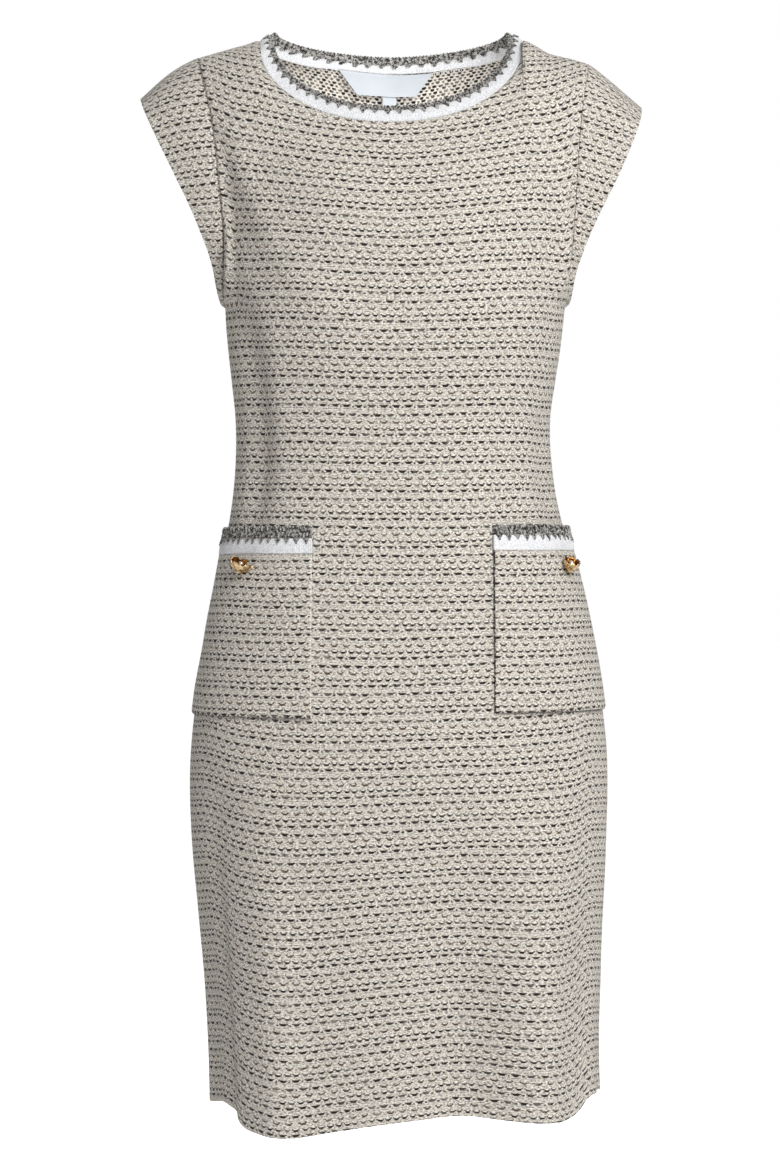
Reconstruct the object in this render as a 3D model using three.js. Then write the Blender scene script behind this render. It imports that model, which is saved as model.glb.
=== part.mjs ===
// Sheath dress with cap sleeves in tweed knit, filled out with no wearer, in millimetres.
// +Z is up, the front faces -Y and +X is the wearer's left. The origin lies midway between
// the high points of the shoulders, where the wearer's shoulders hold the dress up.
import * as THREE from "three";
import { mergeVertices } from "three/addons/utils/BufferGeometryUtils.js";

const clothWall = 2.2;
const bandWall = 2.6;
const edgingWall = 3.4;
const labelWall = 1;
const labelLie = 1;
const seamGap = 0.3;
const trimGap = 0.4;

const underarm = -250;
const shoulderTip = -24;            // height where the shoulder seam meets the armhole
const shoulderStart = -9;           // height where the shoulder seam leaves the neck band
const hem = { level: -958, rise: 5, dip: 6 };
const sectionPower = 2.4;           // 2 is an ellipse, more is squarer
const chestPower = 2.6;             // roundness of the chest between the armholes
const edgeHold = 14;                // how closely the underarm's hollow keeps to its edge
const neckPlace = 2 / 3;            // place of the neck's corner: 0 at the middle, 1 at the side seam
const armholeDepth = { front: 58, back: 56 };
const shoulderRoll = { front: 72, back: 60 };

// A row for each height: half-widths to the side seam, or above the underarm to the armhole
// seam, on the wearer's right (-X) and left (+X), and depths to the front and the back.
const bodySections = [
  { z: -970, right: 167, left: 184, front: 118, back: 115 },
  { z: -880, right: 170, left: 183, front: 122, back: 118 },
  { z: -796, right: 177, left: 186, front: 125, back: 122 },
  { z: -709, right: 184, left: 189, front: 128, back: 126 },
  { z: -655, right: 184, left: 190, front: 129, back: 127 },
  { z: -601, right: 179, left: 185, front: 126, back: 123 },
  { z: -549, right: 170, left: 176, front: 120, back: 113 },
  { z: -499, right: 161, left: 165, front: 112, back: 99 },
  { z: -440, right: 149, left: 149, front: 104, back: 86 },
  { z: -395, right: 144, left: 141, front: 103, back: 81 },
  { z: -345, right: 144, left: 139, front: 108, back: 80 },
  { z: -300, right: 149, left: 146, front: 117, back: 83 },
  { z: -250, right: 153, left: 152, front: 122, back: 87 },
  { z: -190, right: 152, left: 157, front: 116, back: 88 },
  { z: -140, right: 156, left: 160, front: 103, back: 85 },
  { z: -95, right: 161, left: 163, front: 86, back: 78 },
  { z: -24, right: 177, left: 173, front: 70, back: 68 },
];

// The sleeve's hem: half-widths at each rise, from 0 at the underarm to 1 at the tip.
const sleeveSections = [
  { rise: 0, right: 157, left: 156 },
  { rise: 0.2, right: 165, left: 163.5 },
  { rise: 0.42, right: 181, left: 180 },
  { rise: 0.6, right: 197, left: 195.5 },
  { rise: 0.78, right: 212.5, left: 209.5 },
  { rise: 0.92, right: 224, left: 218 },
  { rise: 1, right: 230, left: 221 },
];
const sleeve = { bottom: -246, depth: 51, tip: { right: -61, left: -69 }, crown: { right: 3.5, left: 0.5 } };

// The wearer's left shoulder sits lower than the right, from x of start on and above low.
const lowShoulder = { drop: 5.5, start: 118, full: 138, low: -74, high: -30 };

// The neck: half-widths about its own middle, drops below the shoulder and depths.
const neck = {
  middle: -4,
  opening: { half: 104.5, top: 0, frontDrop: 77.6, frontDepth: 76, backDrop: 13, backDepth: 55 },
  seam: { half: 118, top: shoulderStart, frontDrop: 95, backDrop: 25.5 },
  frontPower: 2.1,
  backPower: 1.7,
  depthPower: 2.2,
  edgingShare: 0.4,                 // of the trim's width; the white band is the rest
};

// The largest folds, soft ridges and troughs down the cloth: place across the panel from -1
// at the wearer's right side seam to 1 at the left, where each starts and ends, and its size.
const folds = [
  { face: "front", place: -0.6, top: -690, bottom: -1150, width: 0.11, height: 9 },
  { face: "front", place: -0.82, top: -720, bottom: -1150, width: 0.1, height: -7 },
  { face: "front", place: 0.7, top: -820, bottom: -1150, width: 0.12, height: 6 },
  { face: "front", place: -0.6, top: -250, bottom: -500, width: 0.12, height: -5 },
  { face: "front", place: 0.74, top: -330, bottom: -480, width: 0.1, height: -3 },
  { face: "back", place: -0.42, top: -660, bottom: -1150, width: 0.14, height: 7 },
  { face: "back", place: 0.5, top: -700, bottom: -1150, width: 0.12, height: 6 },
  { face: "back", place: 0.02, top: -340, bottom: -520, width: 0.3, height: -5 },
];

// The patch pockets, on the wearer's right and left: inner edge, top, height of the edging, bottom,
// the button's place across and how far the mouth gapes.
const pockets = {
  right: { inner: -72, top: -447.5, edging: 10.5, bottom: -613, button: 0.47, gape: 1 },
  left: { inner: 84, top: -446.3, edging: 8.5, bottom: -608.5, button: 0.595, gape: 2.4 },
};
const pocket = { outer: 0.975, band: 13.5, lie: 1, gapeReach: 60 };
const button = { drop: 41, radius: 9.4, height: 7.2, shank: 3, petals: 8, ripple: 0.07 };
const label = { middle: -9, topHalf: 44, bottomHalf: 27.5, height: 20, tilt: 1.1 };
const tab = { middle: -6, half: 6.2, height: 12 };

const panelColumns = { neck: 18, shoulder: 5 };
const panelRows = { skirt: 17, chest: 11, crowding: 0.8 };   // rows crowd towards the underarm

const finishes = {
  tweed: { color: 0xcdc6ba, roughness: 0.95, metalness: 0 },
  whiteRib: { color: 0xf4f4f8, roughness: 0.9, metalness: 0 },
  greyEdging: { color: 0x6e6c6a, roughness: 0.95, metalness: 0 },
  gold: { color: 0xb8842f, roughness: 0.25, metalness: 1 },
  labelSatin: { color: 0xe6ebef, roughness: 0.5, metalness: 0 },
};

function tableCurves(rows, key) {
  const names = Object.keys(rows[0]).filter((name) => name !== key);
  const values = rows.flatMap((row) => names.map((name) => row[name]));
  const curve = new THREE.CubicInterpolant(rows.map((row) => row[key]), values, names.length);
  return (at) => {
    const found = curve.evaluate(at);
    return Object.fromEntries(names.map((name, index) => [name, found[index]]));
  };
}

const bodyAt = tableCurves(bodySections, "z");
const sleeveAt = tableCurves(sleeveSections, "rise");

const signedPower = (value, power) => Math.sign(value) * Math.abs(value) ** power;
const sideOf = (place) => (place < 0 ? "right" : "left");
const signOf = (side) => (side === "left" ? 1 : -1);
const outward = (face) => (face === "front" ? -1 : 1);
const arcRise = (part) => (1 - Math.cos(Math.PI * part)) / 2;
const { lerp, smoothstep } = THREE.MathUtils;

// The two rings of the neck trim. Turn runs from -0.5 at the wearer's right to 0.5 at the left.
function neckRing(ring, face, turn) {
  const power = face === "front" ? neck.frontPower : neck.backPower;
  const drop = ring[`${face}Drop`];
  const x = neck.middle + ring.half * signedPower(Math.sin(turn * Math.PI), 2 / power);
  const low = Math.max(Math.cos(turn * Math.PI), 0) ** (2 / power);
  return { x, z: lerp(ring.top, -drop, low), low };
}

// Height of the shoulder's crest above any x, carried on across the neck.
function crest(x) {
  const reach = bodyAt(shoulderTip)[sideOf(x)];
  const inner = neck.seam.half + neck.middle * Math.sign(x);
  const part = (Math.abs(x) - inner) / (reach - inner);
  return part > 0 ? lerp(shoulderStart, shoulderTip, part) : shoulderStart - 0.12 * part * (reach - inner);
}

function foldHeight(face, place, z) {
  return folds.filter((fold) => fold.face === face).reduce((sum, fold) => {
    const across = Math.exp(-(((place - fold.place) / fold.width) ** 2));
    const along = Math.sin(Math.PI * THREE.MathUtils.clamp((fold.top - z) / (fold.top - fold.bottom), 0, 1));
    return sum + fold.height * across * along;
  }, 0) * smoothstep(1 - Math.abs(place), 0, 0.15);
}

function skirtPoint(face, place, z) {
  const side = sideOf(place);
  const section = bodyAt(z);
  const across = Math.sin((place * Math.PI) / 2);
  const deep = Math.cos((place * Math.PI) / 2);
  const x = section[side] * signedPower(across, 2 / sectionPower);
  const y = outward(face) * section[face] * Math.max(deep, 0) ** (2 / sectionPower);
  const fold = foldHeight(face, place, z);
  return new THREE.Vector3(x + fold * across, y + outward(face) * fold * deep, z);
}

function hemLevel(face, place) {
  const deep = Math.cos((place * Math.PI) / 2);
  return hem.level + hem.rise * place - (face === "front" ? hem.dip * deep : 0);
}

// From the underarm, part 0, to the neck seam and the shoulder seam, part 1.
function chestPoint(face, place, part) {
  const side = sideOf(place);
  const inNeck = Math.abs(place) <= neckPlace;
  const ring = neckRing(neck.seam, face, place / (2 * neckPlace));
  const reach = bodyAt(shoulderTip)[side];
  const seamStart = Math.abs(neck.middle + signOf(side) * neck.seam.half);
  const shoulderPart = (Math.abs(place) - neckPlace) / (1 - neckPlace);
  const topShare = inNeck ? ring.x / reach : signOf(side) * lerp(seamStart / reach, 1, shoulderPart);
  const baseShare = signedPower(Math.sin((place * Math.PI) / 2), 2 / sectionPower);
  const risen = arcRise(part);
  const share = lerp(baseShare, topShare, smoothstep(risen, 0, 1));
  const top = inNeck ? ring.z : lerp(shoulderStart, shoulderTip, shoulderPart);
  const z = lerp(underarm, top, risen);
  const edgeZ = lerp(underarm, shoulderTip, risen);
  const x = share * bodyAt(edgeZ)[side];
  const below = THREE.MathUtils.clamp((crest(x) - z) / shoulderRoll[face], 0, 1);
  const middleY = bodyAt(z)[face] * Math.sqrt(1 - (1 - below) ** 2);
  const edgeY = armholeDepth[face] * Math.sin(Math.PI * part) ** 0.85;
  const width = Math.min(Math.abs(share), 1);
  const opened = smoothstep(risen, 0, 0.4);
  const closedY = middleY * (1 - width ** sectionPower) ** (1 / sectionPower) + edgeY * width ** edgeHold;
  const openY = lerp(middleY, edgeY, width ** chestPower);
  const fold = foldHeight(face, place, z) * (1 - opened);
  return new THREE.Vector3(x, outward(face) * (lerp(closedY, openY, opened) + fold), settled(x, z));
}

function settled(x, z) {
  const { drop, start, full, low, high } = lowShoulder;
  return z - drop * smoothstep(x, start, full) * smoothstep(z, low, high);
}

function panelPoint(face, place, part) {
  if (part <= 1) return skirtPoint(face, place, lerp(hemLevel(face, place), underarm, part));
  return chestPoint(face, place, part - 1);
}

function openingPoint(face, turn) {
  const ring = neckRing(neck.opening, face, turn);
  const depth = neck.opening[`${face}Depth`] * Math.max(Math.cos(turn * Math.PI), 0) ** (2 / neck.depthPower);
  return new THREE.Vector3(ring.x, outward(face) * depth, ring.z);
}

// Trim share runs from 0 at the neck's opening to 1 at the seam with the panel.
function trimPoint(face, turn, share) {
  return openingPoint(face, turn).lerp(chestPoint(face, 2 * neckPlace * turn, 1), share);
}

// Round is 0 at the underarm in front, 0.5 on the shoulder and 1 at the underarm behind.
function sleevePoint(side, round, share) {
  const face = round < 0.5 ? "front" : "back";
  const part = round < 0.5 ? 2 * round : 2 - 2 * round;
  const start = chestPoint(face, signOf(side), part);
  const rise = arcRise(part);
  const tip = sleeve.tip[side];
  const end = new THREE.Vector3(
    signOf(side) * sleeveAt(rise)[side],
    outward(face) * sleeve.depth * Math.sin(Math.PI * part),
    lerp(sleeve.bottom, tip, rise),
  );
  const point = start.lerp(end, share);
  const middle = lerp((underarm + shoulderTip) / 2, (sleeve.bottom + tip) / 2, share);
  const radial = new THREE.Vector3(0, point.y, point.z - middle).normalize();
  return point.addScaledVector(radial, sleeve.crown[side] * rise * Math.sin(Math.PI * share));
}

// A grid of points on a surface, with columns and rows at the given steps. Seen from outside,
// columns run to the right where rows run up.
function gridOf(columnSteps, rowSteps, pointAt) {
  return columnSteps.map((column) => rowSteps.map((row) => pointAt(column, row)));
}

const steps = (count, from = 0, to = 1) => Array.from({ length: count + 1 }, (_, k) => lerp(from, to, k / count));

function gridNormals(grid) {
  const last = grid.length - 1;
  const top = grid[0].length - 1;
  return grid.map((column, i) => column.map((_, j) => {
    const along = grid[Math.min(i + 1, last)][j].clone().sub(grid[Math.max(i - 1, 0)][j]);
    const up = grid[i][Math.min(j + 1, top)].clone().sub(grid[i][Math.max(j - 1, 0)]);
    return along.cross(up).normalize();
  }));
}

// Pieces that share a seam share its normals too, so their walls are mitred alike.
const pointKey = (point) => point.toArray().map((value) => Math.round(value * 50)).join();

function shareNormals(pieces) {
  const sums = new Map();
  pieces.forEach((piece) => {
    piece.normals = gridNormals(piece.grid);
    piece.grid.flat().forEach((point, index) => {
      const normal = piece.normals.flat()[index];
      const sum = sums.get(pointKey(point)) ?? new THREE.Vector3();
      sums.set(pointKey(point), sum.add(normal));
    });
  });
  pieces.forEach((piece) => {
    piece.normals = piece.grid.map((column) => column.map((point) => sums.get(pointKey(point)).clone().normalize()));
  });
}

// Half a seam gap, square to the edge, for each edge that a grid point lies on.
function seamShift(grid, i, j, gap) {
  const last = grid.length - 1;
  const top = grid[0].length - 1;
  const shift = new THREE.Vector3();
  const pull = (inner, before, after) => {
    const edge = after.clone().sub(before).normalize();
    const inward = inner.clone().sub(grid[i][j]);
    shift.addScaledVector(inward.addScaledVector(edge, -inward.dot(edge)).normalize(), gap / 2);
  };
  if (i === 0 || i === last) {
    const inner = grid[i === 0 ? 1 : last - 1][j];
    pull(inner, grid[i][Math.max(j - 1, 0)], grid[i][Math.min(j + 1, top)]);
  }
  if (j === 0 || j === top) {
    const inner = grid[i][j === 0 ? 1 : top - 1];
    pull(inner, grid[Math.max(i - 1, 0)][j], grid[Math.min(i + 1, last)][j]);
  }
  return shift;
}

function closedGeometry(source) {
  source.deleteAttribute("normal");
  source.deleteAttribute("uv");
  return mergeVertices(source, 1e-3);
}

// Splits each warped quad of the four edge faces along its valley, so that two edges laid
// along one seam never cross. A box's quads are listed as triangles a b d and b c d.
function splitEdgesAlongValleys(geometry, quads) {
  const corner = (index) => new THREE.Vector3().fromBufferAttribute(geometry.attributes.position, index);
  for (let quad = 0; quad < quads; quad += 1) {
    const [a, b, d, , c] = geometry.index.array.slice(6 * quad, 6 * quad + 6);
    const plane = new THREE.Plane().setFromCoplanarPoints(corner(a), corner(b), corner(c));
    if (plane.distanceToPoint(corner(d)) > 0) geometry.index.array.set([a, b, c, a, c, d], 6 * quad);
  }
}

// A wall of cloth: its outer face stands off the grid by rise, its inner face is wall below it.
function clothWallGeometry({ grid, normals, wall, rise = 0, gap = seamGap }) {
  const columns = grid.length - 1;
  const rows = grid[0].length - 1;
  const geometry = closedGeometry(new THREE.BoxGeometry(1, 1, 1, columns, rows, 1));
  const position = geometry.attributes.position;
  for (let index = 0; index < position.count; index += 1) {
    const i = Math.round((position.getX(index) + 0.5) * columns);
    const j = Math.round((position.getY(index) + 0.5) * rows);
    const lift = position.getZ(index) > 0 ? rise : rise - wall;
    const point = grid[i][j].clone().add(seamShift(grid, i, j, gap)).addScaledVector(normals[i][j], lift);
    position.setXYZ(index, point.x, point.y, point.z);
  }
  splitEdgesAlongValleys(geometry, 2 * (columns + rows));
  return geometry;
}

function standardMesh(name, geometry, finish) {
  const mesh = new THREE.Mesh(geometry, new THREE.MeshStandardMaterial(finishes[finish]));
  mesh.name = name;
  return mesh;
}

const mirrored = (list) => [...list].reverse();
const shoulderSteps = steps(panelColumns.shoulder, neckPlace, 1).slice(1);
const columnSteps = [
  ...mirrored(shoulderSteps).map((step) => -step),
  ...steps(panelColumns.neck, -neckPlace, neckPlace),
  ...shoulderSteps,
];
const turnSteps = steps(panelColumns.neck, -0.5, 0.5);
const crowded = (step) => Math.sin((step * panelRows.crowding * Math.PI) / 2);
const skirtSteps = steps(panelRows.skirt).map((step) => crowded(step) / crowded(1));
const rowSteps = [...skirtSteps, ...steps(panelRows.chest, 1, 2).slice(1)];

const panelPiece = (face, columns) => ({
  name: `${face}_panel`,
  finish: "tweed",
  wall: clothWall,
  grid: gridOf(columns, rowSteps, (place, part) => panelPoint(face, place, part)),
});

const sleevePiece = (side) => ({
  name: `sleeve_${side}`,
  finish: "tweed",
  wall: clothWall,
  grid: gridOf(
    side === "left" ? steps(3) : mirrored(steps(3)),
    steps(2 * panelRows.chest),
    (share, round) => sleevePoint(side, round, share),
  ),
});

const trimPiece = (name, face, finish, wall, rise, shares) => ({
  name: `${name}_${face}`,
  finish,
  wall,
  rise,
  gap: trimGap,
  grid: gridOf(
    face === "front" ? turnSteps : mirrored(turnSteps),
    shares,
    (turn, share) => trimPoint(face, turn, share),
  ),
});

const bandShares = [1, (1 + neck.edgingShare) / 2, neck.edgingShare];
const edgingShares = [neck.edgingShare, 0];
const bodyPieces = [
  panelPiece("front", columnSteps),
  panelPiece("back", mirrored(columnSteps)),
  sleevePiece("right"),
  sleevePiece("left"),
  ...["front", "back"].map((face) => trimPiece("neck_band", face, "whiteRib", bandWall, 0.2, bandShares)),
  ...["front", "back"].map((face) => trimPiece("neck_edging", face, "greyEdging", edgingWall, 0.6, edgingShares)),
];
shareNormals(bodyPieces);

// Place across the front panel of a point at x.
function placeAt(x, z) {
  const share = Math.abs(x) / bodyAt(z)[sideOf(x)];
  return (Math.sign(x) * Math.asin(share ** (sectionPower / 2)) * 2) / Math.PI;
}

// Height of the pocket's inner face over the panel: it gapes at the mouth, most at its outer end.
function pocketRise(size, place, z) {
  const near = 1 - THREE.MathUtils.clamp((size.top - z) / pocket.gapeReach, 0, 1);
  return pocket.lie + size.gape * near ** 2 * smoothstep(Math.abs(place), 0.35, 1);
}

function pocketPoint(side, across, z) {
  const size = pockets[side];
  const inner = placeAt(size.inner, z);
  const place = lerp(inner, signOf(side) * pocket.outer, across);
  const point = skirtPoint("front", place, z);
  const nextPlace = skirtPoint("front", place + 0.01, z);
  const nextZ = skirtPoint("front", place, z + 1);
  const normal = nextPlace.sub(point).cross(nextZ.sub(point)).normalize();
  return point.addScaledVector(normal, pocketRise(size, place, z) + clothWall);
}

function pocketPieces(side) {
  const size = pockets[side];
  const bandTop = size.top - size.edging;
  const clothTop = bandTop - pocket.band;
  const across = side === "left" ? steps(9) : mirrored(steps(9));
  const layer = (name, finish, rows) => ({
    name: `${name}_${side}`,
    finish,
    wall: clothWall,
    grid: gridOf(across, rows, (share, z) => pocketPoint(side, share, z)),
  });
  return [
    layer("pocket", "tweed", steps(8, size.bottom, clothTop)),
    layer("pocket_band", "whiteRib", steps(2, clothTop, bandTop)),
    layer("pocket_edging", "greyEdging", [bandTop, size.top]),
  ];
}

const pocketLayers = ["right", "left"].flatMap(pocketPieces);
shareNormals(pocketLayers);

// The label hangs inside the back neck from the band's seam, and the tab from the label.
const labelSpan = 0.35;             // share of the chest's rows that both lie within

function insidePoint(x, drop) {
  const reach = neck.seam.half;
  const across = x - neck.middle;
  const turn = (Math.sign(across) * Math.asin((Math.abs(across) / reach) ** (neck.backPower / 2))) / Math.PI;
  const place = 2 * neckPlace * turn;
  const seam = chestPoint("back", place, 1);
  const below = chestPoint("back", place, 1 - labelSpan);
  return seam.lerp(below, drop / seam.distanceTo(below));
}

function labelPiece(name, middle, top, height, topHalf, bottomHalf, columns) {
  const grid = gridOf(steps(columns, 1, -1), [top + height, top], (across, drop) => {
    const reach = across * lerp(topHalf, bottomHalf, (drop - top) / height);
    return insidePoint(middle + reach, drop + (label.tilt * reach) / label.topHalf);
  });
  return { name, finish: "labelSatin", wall: labelWall, rise: -clothWall - labelLie, grid };
}

const labelDrop = 2.2;
const tabDrop = labelDrop + label.height + 1;
const labelPieces = [
  labelPiece("neck_label", label.middle, labelDrop, label.height, label.topHalf, label.bottomHalf, 8),
  labelPiece("size_tab", tab.middle, tabDrop, tab.height, tab.half, tab.half, 2),
];
shareNormals(labelPieces);

// A petalled button on a shank, square to the pocket's cloth below the middle of its mouth.
function buttonMesh(side) {
  const { radius, height, shank, petals, ripple } = button;
  const rim = radius * 0.93;
  const profile = [
    [0, 0],
    [shank, 0],
    [shank, height * 0.36],
    [rim, height * 0.4],
    [radius, height * 0.55],
    [rim, height * 0.72],
    [radius * 0.45, height * 0.66],
    [radius * 0.36, height * 0.9],
    [0, height],
  ].map(([r, y]) => new THREE.Vector2(r, y));
  const geometry = closedGeometry(new THREE.LatheGeometry(profile, 2 * petals));
  const position = geometry.attributes.position;
  for (let index = 0; index < position.count; index += 1) {
    const x = position.getX(index);
    const z = position.getZ(index);
    const reach = Math.hypot(x, z) / radius;
    const scale = 1 + ripple * reach ** 2 * Math.cos(petals * Math.atan2(z, x));
    position.setX(index, x * scale);
    position.setZ(index, z * scale);
  }
  const z = pockets[side].top - button.drop;
  const across = pockets[side].button;
  const base = pocketPoint(side, across, z);
  const nextAcross = pocketPoint(side, across + 0.01 * signOf(side), z).sub(base);
  const normal = nextAcross.cross(pocketPoint(side, across, z + 1).sub(base)).normalize();
  const mesh = standardMesh(`button_${side}`, geometry, "gold");
  mesh.quaternion.setFromUnitVectors(new THREE.Vector3(0, 1, 0), normal);
  mesh.position.copy(base).addScaledVector(normal, seamGap);
  return mesh;
}

const dress = new THREE.Group();
dress.name = "sheath_dress";
[...bodyPieces, ...pocketLayers, ...labelPieces].forEach((piece) => {
  dress.add(standardMesh(piece.name, clothWallGeometry(piece), piece.finish));
});
dress.add(buttonMesh("right"), buttonMesh("left"));

export default dress;
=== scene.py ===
import math

import bmesh
import bpy
import numpy as np
from mathutils import Matrix, Vector, noise


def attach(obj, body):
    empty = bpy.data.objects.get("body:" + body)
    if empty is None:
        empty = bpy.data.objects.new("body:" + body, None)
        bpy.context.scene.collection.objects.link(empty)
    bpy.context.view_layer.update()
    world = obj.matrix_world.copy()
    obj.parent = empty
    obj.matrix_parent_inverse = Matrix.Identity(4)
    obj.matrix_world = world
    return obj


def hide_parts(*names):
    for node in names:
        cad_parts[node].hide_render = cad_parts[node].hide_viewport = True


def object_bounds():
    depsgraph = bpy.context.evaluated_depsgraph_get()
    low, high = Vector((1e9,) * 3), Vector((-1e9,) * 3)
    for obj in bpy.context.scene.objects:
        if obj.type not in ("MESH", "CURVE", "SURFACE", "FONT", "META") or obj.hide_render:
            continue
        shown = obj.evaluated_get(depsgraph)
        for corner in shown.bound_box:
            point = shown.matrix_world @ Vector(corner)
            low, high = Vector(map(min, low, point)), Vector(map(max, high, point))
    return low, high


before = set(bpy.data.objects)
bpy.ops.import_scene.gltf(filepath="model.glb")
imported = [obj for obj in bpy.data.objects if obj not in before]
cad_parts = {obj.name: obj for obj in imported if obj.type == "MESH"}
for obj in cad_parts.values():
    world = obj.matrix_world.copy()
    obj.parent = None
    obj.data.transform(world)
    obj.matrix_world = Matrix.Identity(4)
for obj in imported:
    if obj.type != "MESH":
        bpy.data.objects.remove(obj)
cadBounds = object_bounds()
print("frame loaded")

# Sheath dress in tweed knit, filled out with no wearer. +Z is up and the front faces -Y.
# Lengths in the tables are in millimetres unless a note says metres. Everything made is in metres.
mm = 0.001
touching = 1e-6  # points this close are one

# places and sizes in metres
studio = {
    "cameraPlace": (-0.005, -2.5, -0.498),
    "lens": 85.5,
    "sensor": 36,
    "floorBelowHem": 0.42,
    "floorReach": 40,
    "worldStrength": 0.32,
    "floorGlow": 0.72,
}
onDress = (0, 0, -0.5)
lights = {
    "key": {"place": (1.2, -2.42, 1.0), "aim": onDress, "watts": 84, "size": 1.5},
    "fill": {"place": (-1.9, -2.2, -0.4), "aim": onDress, "watts": 2, "size": 1.6},
    "rim": {"place": (-0.3, 2.2, 0.9), "aim": onDress, "watts": 42, "size": 1.2},
    # a small oblong light inside the chest, for the inside of the back below the neck
    "neckLight": {
        "place": (0, -0.035, -0.135), "aim": (0, 0.05, -0.07), "watts": 0.16, "size": 0.15, "height": 0.05,
    },
}


def makeStudio():
    scene = bpy.context.scene
    scene.view_settings.view_transform = "Standard"
    camera = bpy.data.objects.new("camera", bpy.data.cameras.new("camera"))
    camera.location = studio["cameraPlace"]
    camera.rotation_euler = (math.pi / 2, 0, 0)
    camera.data.lens = studio["lens"]
    camera.data.sensor_width = studio["sensor"]
    scene.collection.objects.link(camera)
    scene.camera = camera
    # the backdrop shows white, and lights the dress with less than that
    world = bpy.data.worlds.new("studio")
    world.use_nodes = True
    tree = world.node_tree
    backdrop = tree.nodes["Background"].inputs
    backdrop["Color"].default_value = (1, 1, 1, 1)
    strength = seenByCamera(tree) * (1 - studio["worldStrength"]) + studio["worldStrength"]
    plug(tree, backdrop["Strength"], strength)
    scene.world = world
    for name, look in lights.items():
        light = bpy.data.lights.new(name, "AREA")
        light.energy = look["watts"]
        light.size = look["size"]
        if "height" in look:
            light.shape = "RECTANGLE"
            light.size_y = look["height"]
        lamp = bpy.data.objects.new(name, light)
        lamp.location = look["place"]
        aim = Vector(look["aim"]) - lamp.location
        lamp.rotation_euler = aim.to_track_quat("-Z", "Y").to_euler()
        lamp.visible_camera = False
        scene.collection.objects.link(lamp)


def linear(code):
    # a colour written as six hex digits, as the shader wants it
    parts = [int(code[k:k + 2], 16) / 255 for k in (0, 2, 4)]
    return [((part + 0.055) / 1.055) ** 2.4 if part > 0.04 else part / 12.92 for part in parts] + [1.0]


def plug(tree, slot, value):
    if isinstance(value, Wire):
        tree.links.new(value.socket, slot)
    else:
        slot.default_value = value


def addNode(tree, kind, values=None, **settings):
    node = tree.nodes.new(kind)
    for name, value in settings.items():
        setattr(node, name, value)
    for name, value in (values or {}).items():
        plug(tree, node.inputs[name], value)
    return node


class Wire:
    # a shader value that writes its own maths nodes
    def __init__(self, tree, socket):
        self.tree = tree
        self.socket = socket

    def maths(self, operation, *others):
        node = addNode(self.tree, "ShaderNodeMath", operation=operation)
        for slot, value in zip(node.inputs, (self, *others)):
            plug(self.tree, slot, value)
        return Wire(self.tree, node.outputs[0])

    def __add__(self, other):
        return self.maths("ADD", other)

    def __sub__(self, other):
        return self.maths("SUBTRACT", other)

    def __mul__(self, other):
        return self.maths("MULTIPLY", other)

    def __truediv__(self, other):
        return self.maths("DIVIDE", other)

    def fadeBetween(self, start, end):
        # 0 at start and 1 at end, whichever is larger
        node = addNode(self.tree, "ShaderNodeMapRange", interpolation_type="SMOOTHSTEP")
        for slot, value in zip(node.inputs, (self, start, end)):
            plug(self.tree, slot, value)
        return Wire(self.tree, node.outputs[0])


def seenByCamera(tree):
    return Wire(tree, addNode(tree, "ShaderNodeLightPath").outputs["Is Camera Ray"])


def nodeGroup(name, takes, gives):
    tree = bpy.data.node_groups.new(name, "ShaderNodeTree")
    for direction, sockets in (("INPUT", takes), ("OUTPUT", gives)):
        for label, kind in sockets.items():
            tree.interface.new_socket(label, in_out=direction, socket_type=f"NodeSocket{kind}")
    start = tree.nodes.new("NodeGroupInput")
    end = tree.nodes.new("NodeGroupOutput")
    return tree, {label: Wire(tree, start.outputs[label]) for label in takes}, end


def separate(tree, vector):
    node = addNode(tree, "ShaderNodeSeparateXYZ", {"Vector": vector})
    return [Wire(tree, output) for output in node.outputs]


def combine(tree, x, y, z=0.0):
    return Wire(tree, addNode(tree, "ShaderNodeCombineXYZ", {"X": x, "Y": y, "Z": z}).outputs[0])


def blend(tree, share, first, second, mode="MIX"):
    node = addNode(tree, "ShaderNodeMix", data_type="RGBA", blend_type=mode)
    for slot, value in zip((node.inputs[0], node.inputs[6], node.inputs[7]), (share, first, second)):
        plug(tree, slot, value)
    return Wire(tree, node.outputs[2])


def noiseOf(tree, vector, scale, detail=2.0, roughness=0.5):
    values = {"Vector": vector, "Scale": scale, "Detail": detail, "Roughness": roughness}
    node = addNode(tree, "ShaderNodeTexNoise", values)
    return Wire(tree, node.outputs["Fac"]), Wire(tree, node.outputs["Color"])


knit = {
    "repeat": 24.7,
    "stitch": 1.775,
    "courses": 16,
    "sway": 2.2,
    "rowSway": 1.3,
    "slowSway": 2.5,
    "jitter": 0.9,
    "relief": 0.3,
    "seamReach": 1.5,
    # how softly a mark ends, and its height beside the ground's loops
    "markEdge": (1.45, 0.65),
    "markHeight": 0.4,
    # sizes of the unevenness, in waves to a metre
    "swayScale": 150.0,
    "slowScale": 9.0,
    "fleckScale": 800.0,
    "tintScale": 480.0,
    "patchScale": 90.0,
    "seamScale": 330.0,
}
nearBlack = "18120f"
brown = "533f2e"
lilac = "82777d"
paintedStitchHighlight = "fbf8f4"
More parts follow.
